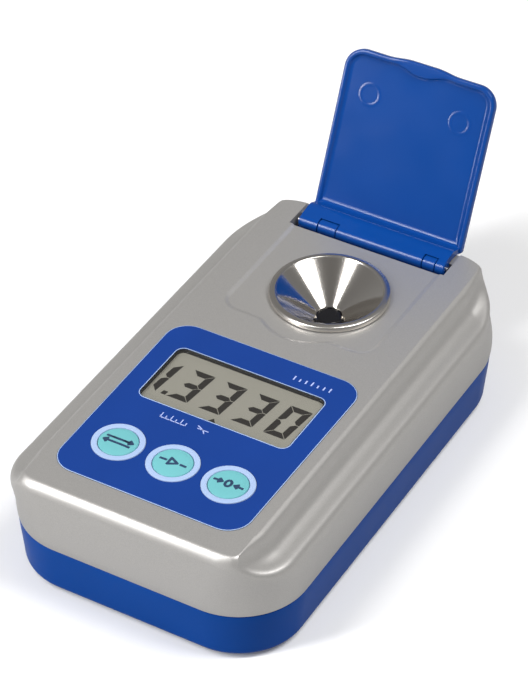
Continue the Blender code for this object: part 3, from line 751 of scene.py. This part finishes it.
def segment(name, width, height):
    """One of the seven bars that make a digit, with mitred ends and a thin gap to its neighbours."""
    gap, half, middle_y = SEGMENT_GAP, STROKE / 2, height / 2
    near, far = STROKE + gap, width - STROKE - gap
    upright = [(0, middle_y + gap), (0, height - gap), (STROKE, height - near)]
    upright += [(STROKE, middle_y + half + gap), (half, middle_y + gap)]
    flat = [(gap, height), (near, height - STROKE), (far, height - STROKE), (width - gap, height)]
    bar = [(half + gap, middle_y), (near, middle_y + half), (far, middle_y + half)]
    bar += [(width - half - gap, middle_y), (far, middle_y - half), (near, middle_y - half)]
    shapes = {
        "a": flat,
        "d": [(x, height - y) for x, y in flat],
        "g": bar,
        "f": upright,
        "b": [(width - x, y) for x, y in upright],
        "e": [(x, height - y) for x, y in upright],
        "c": [(width - x, height - y) for x, y in upright],
    }
    return shapes[name]


def flat_ink(name, polygons, surface, skin, slot, body="case", thickness=0.03):
    """Printed marks: thin flat solids that lie on a surface given as z = surface(x, y)."""
    pieces = []
    for polygon in polygons:
        rings = [[(x, y, surface(x, y) + rise) for x, y in polygon] for rise in (0.004, thickness)]
        pieces.append(loft("mark", rings))
    return dress(merged(name, pieces), slot, body, skin=skin)


def digits(glass_z):
    """A reading of 1.3330, the refractive index of water, and a cursor under it."""
    right, low_y = 22.3, WINDOW_LOW.y + 4.65
    polygons = []
    for place_from_right, figure in enumerate("03331"):
        left = right - DIGIT_WIDTH - place_from_right * DIGIT_PITCH
        for name in SEGMENTS[figure]:
            outline = segment(name, DIGIT_WIDTH, DIGIT_HEIGHT)
            polygons.append([(left + x + SLANT * (y - DIGIT_HEIGHT), low_y + y) for x, y in outline])
    dot = right - 3 * DIGIT_PITCH - DIGIT_WIDTH - 3.3
    polygons.append([(dot + x, low_y + y) for x, y in ((0, 0), (1.5, 0), (1.75, 1.6), (0.25, 1.6))])
    cursor_y = WINDOW_LOW.y + 0.1
    polygons.append([(-2.4, cursor_y), (1.4, cursor_y), (-0.5, cursor_y + 2.6)])
    flat_ink("reading", polygons, lambda x, y: glass_z, LCD_INK, "black_plastic")


def stroke(points, width, closed=False):
    """A line of even width through points, as one polygon for each straight stretch."""
    polygons = []
    points = [Vector(point) for point in points]
    ends = points[1:] + points[:1] if closed else points[1:]
    for start, end in zip(points, ends):
        along = (end - start).normalized() * width / 2
        across = Vector((-along.y, along.x))
        start, end = start - along * 0.6, end + along * 0.6
        pieces = max(1, round((end - start).length / 1.2))
        for piece in range(pieces):
            near, far = start.lerp(end, piece / pieces), start.lerp(end, (piece + 1) / pieces)
            polygons.append([near - across, far - across, far + across, near + across])
    return polygons


def ring_stroke(centre, radius_x, radius_y, width, steps=20):
    points = []
    for step in range(steps):
        angle = 2 * math.pi * step / steps
        points.append((centre[0] + radius_x * math.cos(angle), centre[1] + radius_y * math.sin(angle)))
    return stroke(points, width, closed=True)


def arrow(start, end, width, head=1.0):
    start, end = Vector(start), Vector(end)
    along = (end - start).normalized()
    across = Vector((-along.y, along.x))
    marks = stroke([start, end - along * 0.3], width)
    back, wing = end - along * head, across * head * 0.75
    return marks + stroke([back + wing, end, back - wing], width)


def button_marks(name):
    """Signs in place of words: two opposite arrows, a start triangle, and arrows towards a nought."""
    width = SIGN_STROKE
    if name == "scale":
        return arrow((-3.9, 0.85), (4.1, 0.85), width) + arrow((3.9, -0.85), (-4.1, -0.85), width)
    if name == "read":
        triangle = stroke([(-1.1, -1.35), (1.4, 0), (-1.1, 1.35)], width, closed=True)
        return triangle + stroke([(-4.0, 0), (-2.1, 0)], width) + stroke([(2.4, 0), (4.0, 0)], width)
    nought = ring_stroke((0, 0), 0.85, 1.2, width)
    return nought + arrow((-4.4, 0), (-1.9, 0), width) + arrow((4.4, 0), (1.9, 0), width)


def crown_fall(angle):
    """How far a cap's crown has fallen where its slope's angle off the middle is this."""
    return BUTTON_CROWN * (1 - math.cos(angle)) / (1 - math.cos(SHOULDER))


def button_cap(name):
    """A cap with a crowned top on its plunger, and the sign printed on it."""
    low, high = case_box(f"button_{name}")
    x, y = middle(f"button_{name}").xy
    rim, crown = high.z - 0.5, high.z + 0.05

    def surface(px, py):
        reach = min(math.hypot(px - x, py - y) / BUTTON_R, 0.999)
        return crown - crown_fall(math.asin(reach))

    profile = [(1.6, low.z), (1.6, low.z + 0.7), (BUTTON_R, low.z + 0.7), (BUTTON_R, rim)]
    profile += [(BUTTON_R - 0.06, rim + 0.17), (BUTTON_R - 0.2, rim + 0.3)]
    for step in range(6, 0, -1):
        angle = 0.15 * step
        profile.append((BUTTON_R * math.sin(angle), crown - crown_fall(angle)))
    profile.append((0.3, crown))
    cap = turned(f"cap_{name}", profile, (x, y, 0), 72)
    dress(cap, "turquoise_caps", f"button_{name}", [f"button_{name}"])
    marks = [[(px + x, py + y) for px, py in polygon] for polygon in button_marks(name)]
    flat_ink(f"sign_{name}", marks, surface, INK, "turquoise_caps", f"button_{name}", 0.04)


def button_ring(name):
    """The pale ring round a cap, with rounded lips."""
    x, y = middle(f"button_{name}").xy
    inner, bottom, top = BUTTON_R + 0.14, LABEL_LOW.z, LABEL_HIGH.z + 0.25
    profile = [(inner, bottom), (RING_R + 0.2, bottom), (RING_R + 0.2, top - 0.22)]
    profile += [(RING_R + 0.12, top - 0.07), (RING_R - 0.1, top), (inner + 0.3, top)]
    profile += [(inner + 0.08, top - 0.06), (inner, top - 0.2), (inner, bottom)]
    ring = turned(f"ring_{name}", profile, (x, y, 0), 72)
    dress(ring, "pale_rings", stands_for=[f"button_ring_{name}"])


def captions():
    """Small signs round the display in place of words: a graduated line, a bent ray, a row of bars."""
    top, y = LABEL_HIGH.z, WINDOW_LOW.y - 4.4
    line_left, line_right, line_y, tick_pitch = -13.2, -5.2, y - 0.9, 1.6
    marks = stroke([(line_left, line_y), (line_right, line_y)], 0.32)
    for tick in range(6):
        x = line_left + tick_pitch * tick
        marks += stroke([(x, line_y), (x, y + (1.0 if tick % 2 == 0 else 0.2))], 0.32)
    marks += stroke([(-1.9, y + 1.0), (0.1, y), (1.0, y - 1.1)], 0.34)
    marks += stroke([(-1.6, y), (1.8, y)], 0.3)
    bars_y = WINDOW_HIGH.y + 3.6
    for bar in range(7):
        x, height = WINDOW_HIGH.x - 12.6 + 1.9 * bar, (1.5, 0.9, 1.2)[bar % 3]
        marks += stroke([(x, bars_y), (x, bars_y + height)], 0.42)
    flat_ink("scale_signs", marks, lambda px, py: top, PALE_INK, "pale_rings", thickness=0.02)


# -------- well and prism


def sample_well():
    """The steel funnel: a soft rolled rim, a cone, and a short bore down to the prism."""
    low_z, mouth, throat = case_box("sample_well")[0].z, WELL_R - 2.2, PRISM_R + 0.06
    seat_r, seat = 16.1, RECESS_Z + 0.25
    rim = [(WELL_R - 0.12, seat), (WELL_R, seat + 0.25), (WELL_R - 0.08, seat + 0.9)]
    rim += [(WELL_R - 0.4, seat + 1.4), (WELL_R - 0.85, WELL_TOP_Z - 0.12), (WELL_R - 1.35, WELL_TOP_Z)]
    rim += [(WELL_R - 1.85, WELL_TOP_Z - 0.02), (mouth + 0.05, WELL_TOP_Z - 0.12)]
    rim += [(mouth - 0.22, WELL_TOP_Z - 0.42)]
    inside = [(mouth - 5.8, 35.75), (throat + 0.35, PRISM_Z + 0.5), (throat + 0.1, PRISM_Z + 0.27)]
    inside += [(throat, PRISM_Z), (throat, low_z)]
    outside = [(7.2, low_z), (7.2, 31.6), (14.4, 37.0), (seat_r, 38.0), (seat_r, seat)]
    profile = [(seat_r, seat), *(tuple(pair) for pair in curve_through(rim, 4)), *inside, *outside]
    funnel = turned("steel_well", profile, (WELL.x, WELL.y, 0), 160)
    dress(funnel, "polished_steel", stands_for=["sample_well"], sharp=25)


def prism():
    """The dark glass prism with its round face at the bottom of the well."""
    low, high = case_box("prism")
    top, block_top = high.z, high.z - 2.8
    side = [(low.y + 3.0, block_top), (low.y, low.z), (high.y, low.z), (high.y - 3.0, block_top)]
    block = extruded_x("prism_block", side, (low.x, high.x))
    face = [(PRISM_R, 27.0), (PRISM_R, top - 0.3), (PRISM_R - 0.3, top - 0.05), (PRISM_R - 0.45, top)]
    combine(block, [turned("face", face, (WELL.x, WELL.y, 0), 64)], "UNION")
    dress(block, "optical_glass", stands_for=["prism"], sharp=30)


# -------- hinge and cover


def cover_matrix():
    """From the cover's own frame, with its zero on the pin, to the case's."""
    lean = Matrix.Rotation(math.radians(-LEAN_BACK), 4, "X")
    return Matrix.Translation((0, HINGE_Y, HINGE_Z)) @ lean


def cover_outline(step=0.0, dip=0.0):
    """(x, z) round the panel, moved in by a step. Its free edge has a low tab in the middle for the
    fingertip, and the dip takes the line down there at the scoop behind it."""
    half, top, bottom = COVER_HALF_X - step, COVER_TOP - step, 3.0 + step
    radius, foot = 6.2 - step, max(1.0 - step, 0.1)
    outline = arc((half - radius, top - radius), radius, 0, 90, 12)
    steps = 48
    for number in range(1, steps):
        x = (half - radius) * (1 - 2 * number / steps)
        tab, scoop = eased(abs(x), 12.0, 4.0), eased(abs(x), 9.6, 1.0)
        outline.append((x, top + 0.8 * tab - dip * scoop))
    outline += arc((radius - half, top - radius), radius, 90, 180, 12)
    side = top - radius - bottom - foot
    outline += [(-half, top - radius - side * number / 16) for number in range(1, 16)]
    outline += arc((foot - half, bottom + foot), foot, 180, 270, 4)
    outline += arc((half - foot, bottom + foot), foot, 270, 360, 4)
    outline += [(half, bottom + foot + side * number / 16) for number in range(1, 16)]
    return outline


def cover_panel():
    """Rings from the inner floor out over the rim and round to the slightly crowned back. Each is
    (inset, depth, dip at the finger scoop)."""
    sections = [(2.9, COVER_FLOOR, 2.3), (2.5, 9.02, 2.3), (2.1, 8.9, 2.3), (1.85, 8.7, 2.3)]
    sections += [(1.65, 8.45, 2.3), (1.5, 8.25, 2.3), (1.35, 8.14, 2.3), (1.2, 8.1, 2.3)]
    sections += [(0.85, 8.1, 1.2), (0.5, 8.1, 0.3), (0.28, 8.16, 0.0), (0.1, 8.36, 0.0)]
    sections += [(0.0, 8.65, 0.0), (0.0, 9.95, 0.0), (0.1, 10.3, 0.0), (0.35, 10.6, 0.0)]
    sections += [(0.75, 10.8, 0.0), (1.3, 10.9, 0.0)]
    rings = []
    for step, depth, dip in sections:
        rings.append([(x, depth, z) for x, z in cover_outline(step, dip)])
    middle_z = (COVER_TOP + 3.0) / 2
    for share, depth in ((0.9, 11.05), (0.7, 11.25), (0.4, 11.4), (0.15, 11.45)):
        back = cover_outline(1.3)
        rings.append([(x * share, depth, middle_z + (z - middle_z) * share) for x, z in back])
    return loft("blue_cover", rings, cover_matrix())


def cover_strap():
    """The flange between the barrel and the panel, with a fillet where it meets the panel's floor."""
    face = [(-0.9, 2.0), (0.9, 3.05), (3.0, 4.3), (4.4, 4.75), (6.2, 4.7), (7.4, 4.75)]
    fillet = [(8.15, 4.95), (8.65, 5.35), (8.95, 5.95), (9.1, 6.8)]
    section = [tuple(pair) for pair in curve_through(face + fillet, 4)]
    section += [(10.2, 6.8), (10.2, 3.1), (8.3, 3.1), (6.0, 3.1), (2.75, 1.7), (0.8, -1.0)]
    return extruded_x("strap", section, (-24.3, 24.3), cover_matrix())


def ejector_marks():
    """Two marks, barely raised, on the cover's floor."""
    relief = [(2.5, 0.05), (2.5, -0.01), (2.9, -0.05), (3.4, -0.05), (3.8, -0.01), (3.8, 0.05)]
    profile = [(radius, COVER_FLOOR + depth) for radius, depth in relief + relief[:1]]
    marks = []
    for x in (-15.0, 15.0):
        spot = cover_matrix() @ Matrix.Translation((x, 0, 41.0)) @ Matrix.Rotation(-math.pi / 2, 4, "X")
        marks.append(turned("mark", profile, (0, 0, 0), 48, "Z", spot))
    dress(merged("ejector_marks", marks), "blue_plastic", "cover")


def cover():
    """Panel, strap and barrel in one moulding, cut clear of the bracket's knuckles."""
    matrix = cover_matrix()
    panel = cover_panel()
    barrel = [(1.9, -24.4), (BARREL_R, -24.1), (BARREL_R, 24.3), (1.9, 24.6)]
    barrel = turned("barrel", barrel, (0, 0, 0), 48, "X", matrix)
    combine(panel, [cover_strap(), barrel], "UNION")
    cuts = []
    reach = BARREL_R + 0.25
    for number, (left, right) in enumerate(KNUCKLES):
        left, right = left - KNUCKLE_GAP, right + KNUCKLE_GAP
        cuts.append(box(f"leg_{number}", (left, right), (-3.5, 2.9), (-3.5, 0.6), matrix))
        knuckle = [(reach, left), (reach, right)]
        cuts.append(turned(f"knuckle_{number}", knuckle, (0, 0, 0), 48, "X", matrix))
    cuts.append(turned("bore", [(BORE_R, -28.0), (BORE_R, 28.0)], (0, 0, 0), 24, "X", matrix))
    combine(panel, cuts)
    dress(panel, "blue_plastic", "cover", ["cover"], sharp=30)
    ejector_marks()


def bracket():
    """The strip in the trough with its two knuckles, and the pin through them."""
    low, high = case_box("hinge_bracket")
    outline = rounded_rectangle((low.x, high.x), (low.y, high.y), 0.8, 4)
    strip = stack("bracket", outline, [(0.1, 35.2), (0, 35.3), (0, 35.65), (0.1, 35.75)])
    pin_centre = (0, HINGE_Y, HINGE_Z)
    knuckles = []
    for number, (left, right) in enumerate(KNUCKLES):
        profile = [(2.05, left), (BARREL_R, left + 0.15), (BARREL_R, right - 0.15), (2.05, right)]
        knuckles.append(turned(f"knuckle_{number}", profile, pin_centre, 48, "X"))
        leg = (HINGE_Y - 1.5, HINGE_Y + 1.5)
        knuckles.append(box(f"leg_{number}", (left + 0.3, right - 0.3), leg, (35.4, 37.2)))
    combine(strip, knuckles, "UNION")
    combine(strip, [turned("bore", [(BORE_R, -27.0), (BORE_R, 27.0)], pin_centre, 24, "X")])
    dress(strip, "blue_plastic", stands_for=["hinge_bracket"], sharp=30)

    end = case_box("hinge_pin")[1].x
    profile = [(0.5, -end), (0.8, 0.25 - end), (0.8, end - 0.25), (0.5, end)]
    dress(turned("pin", profile, pin_centre, 24, "X"), "plain_steel", stands_for=["hinge_pin"])


# -------- underside


def battery_door():
    """The door in the underside, with a round thumb grip of low ribs."""
    low, high = DOOR_LOW, DOOR_HIGH
    outline = rounded_rectangle((low.x, high.x), (low.y, high.y), 0.8, 4)
    door = stack("door", outline, [(0.25, low.z), (0, low.z + 0.25), (0, high.z - 0.1), (0.1, high.z)])
    grip_y, rib_pitch = low.y + 12.0, 1.5
    hollow = [(6.0, -6.0), (6.0, low.z + 0.35), (5.4, low.z + 0.6)]
    combine(door, [turned("hollow", hollow, (0, grip_y, 0), 64)])
    ribs = []
    for step in range(-3, 4):
        half = math.sqrt(30.0 - (rib_pitch * step) ** 2)
        y, crest, foot = grip_y + rib_pitch * step, low.z + 0.25, low.z + 0.7
        section = [(y - 0.35, foot), (y - 0.2, crest), (y + 0.2, crest), (y + 0.35, foot)]
        ribs.append(extruded_x("rib", section, (-half, half)))
    combine(door, ribs, "UNION")
    dress(door, "blue_plastic", "battery_door", ["battery_door"], sharp=30)


def feet():
    profile = [(3.9, 0.25), (4.2, 0.0), (4.55, 0.0), (4.85, 0.12), (5.0, 0.4), (5.0, 1.5)]
    for corner in CORNERS:
        x, y = middle(f"foot_{corner}").xy
        pad = turned(f"pad_{corner}", profile, (x, y, 0), 64)
        dress(pad, "black_rubber", stands_for=[f"foot_{corner}"])


# -------- stage


def stage():
    """A white table, seen over-lit, as in a studio, while it throws back less light."""
    reach = 6.0
    corners = [(-reach, -reach, 0), (reach, -reach, 0), (reach, reach, 0), (-reach, reach, 0)]
    mesh = bpy.data.meshes.new("table")
    mesh.from_pydata(corners, [], [(0, 1, 2, 3)])
    table = bpy.data.objects.new("table", mesh)
    bpy.context.scene.collection.objects.link(table)
    white = Skin("white_table", (0.9, 0.9, 0.9), 0.6)
    white.vary_roughness(white.noise(40.0), 0.55, 0.65)
    white.set(Specular_IOR_Level=0.0, Emission_Color=(1, 1, 1, 1), Emission_Strength=0.05)
    path = white.node("ShaderNodeLightPath")
    shade = white.ranged(path.outputs["Is Camera Ray"], 0.5, 0.95, 0.0, 1.0)
    white.link(shade, white.shader.inputs["Base Color"])
    mesh.materials.append(white.material)


def light(name, azimuth, elevation, size, power, distance=1.1):
    """A soft box that looks at the case from an azimuth (0 along +X) and an elevation."""
    lamp = bpy.data.lights.new(name, "AREA")
    lamp.shape = "RECTANGLE"
    lamp.size, lamp.size_y = size
    lamp.energy = power
    made = bpy.data.objects.new(name, lamp)
    bpy.context.scene.collection.objects.link(made)
    turn, lift = math.radians(azimuth), math.radians(elevation)
    out = Vector((math.cos(turn) * math.cos(lift), math.sin(turn) * math.cos(lift), math.sin(lift)))
    made.location = out * distance + Vector((0, 0, 0.03))
    made.rotation_euler = out.to_track_quat("Z", "Y").to_euler()


def world():
    """A pale studio: white to the camera, and softly shaded for light and reflections."""
    studio = bpy.data.worlds.new("studio")
    bpy.context.scene.world = studio
    studio.use_nodes = True
    tree = studio.node_tree
    tree.nodes.clear()
    new, link = tree.nodes.new, tree.links.new
    output = new("ShaderNodeOutputWorld")
    seen, lit = (new("ShaderNodeBackground") for _ in range(2))
    seen.inputs["Color"].default_value = (1, 1, 1, 1)
    where = new("ShaderNodeTexCoord")
    split = new("ShaderNodeSeparateXYZ")
    ramp = new("ShaderNodeValToRGB")
    level, overhead = (0.3, 0.3, 0.3, 1), (0.17, 0.165, 0.16, 1)
    for element, colour in zip(ramp.color_ramp.elements, (level, overhead)):
        element.color = colour
    path = new("ShaderNodeLightPath")
    mix = new("ShaderNodeMixShader")
    link(where.outputs["Generated"], split.inputs["Vector"])
    link(split.outputs["Z"], ramp.inputs["Fac"])
    link(ramp.outputs["Color"], lit.inputs["Color"])
    link(path.outputs["Is Camera Ray"], mix.inputs["Fac"])
    link(lit.outputs["Background"], mix.inputs[1])
    link(seen.outputs["Background"], mix.inputs[2])
    link(mix.outputs["Shader"], output.inputs["Surface"])


def camera():
    """The photograph's angle: from the front right and above, with a long lens."""
    data = bpy.data.cameras.new("camera")
    data.sensor_fit = "VERTICAL"
    data.sensor_height = 36.0
    data.lens = 151.6
    data.clip_start, data.clip_end = 0.05, 30.0
    made = bpy.data.objects.new("camera", data)
    bpy.context.scene.collection.objects.link(made)
    azimuth, elevation, distance = math.radians(29.784), math.radians(39.544), 901.7
    level = Vector((math.sin(azimuth), -math.cos(azimuth), 0)) * math.cos(elevation)
    back = level + Vector((0, 0, math.sin(elevation)))
    target = Vector((-26.3, 46.45, 0.0))
    made.location = place(target + back * distance)
    made.rotation_euler = back.to_track_quat("Z", "Y").to_euler()
    bpy.context.scene.camera = made


def carry_over():
    """The CAD nodes keep their meshes and get the material of their slot."""
    for item in frame["record"]["subparts"]:
        node = frame["nodes"][item["node"]]
        node.data.materials.clear()
        node.data.materials.append(SKINS[item["material_slot"]])


def main():
    camera()
    stage()
    world()
    light("soft_box_right", 13, 62, (0.4, 0.7), 8.5)
    light("soft_box_left", -123, 38, (0.24, 1.4), 8.5)
    light("soft_box_core", -123, 38, (0.07, 1.3), 4.5, 1.08)
    bpy.context.scene.view_settings.view_transform = "Standard"
    top_shell()
    bottom_shell()
    label()
    window()
    for name in BUTTONS:
        button_cap(name)
        button_ring(name)
    captions()
    sample_well()
    prism()
    cover()
    bracket()
    battery_door()
    feet()
    carry_over()


main()
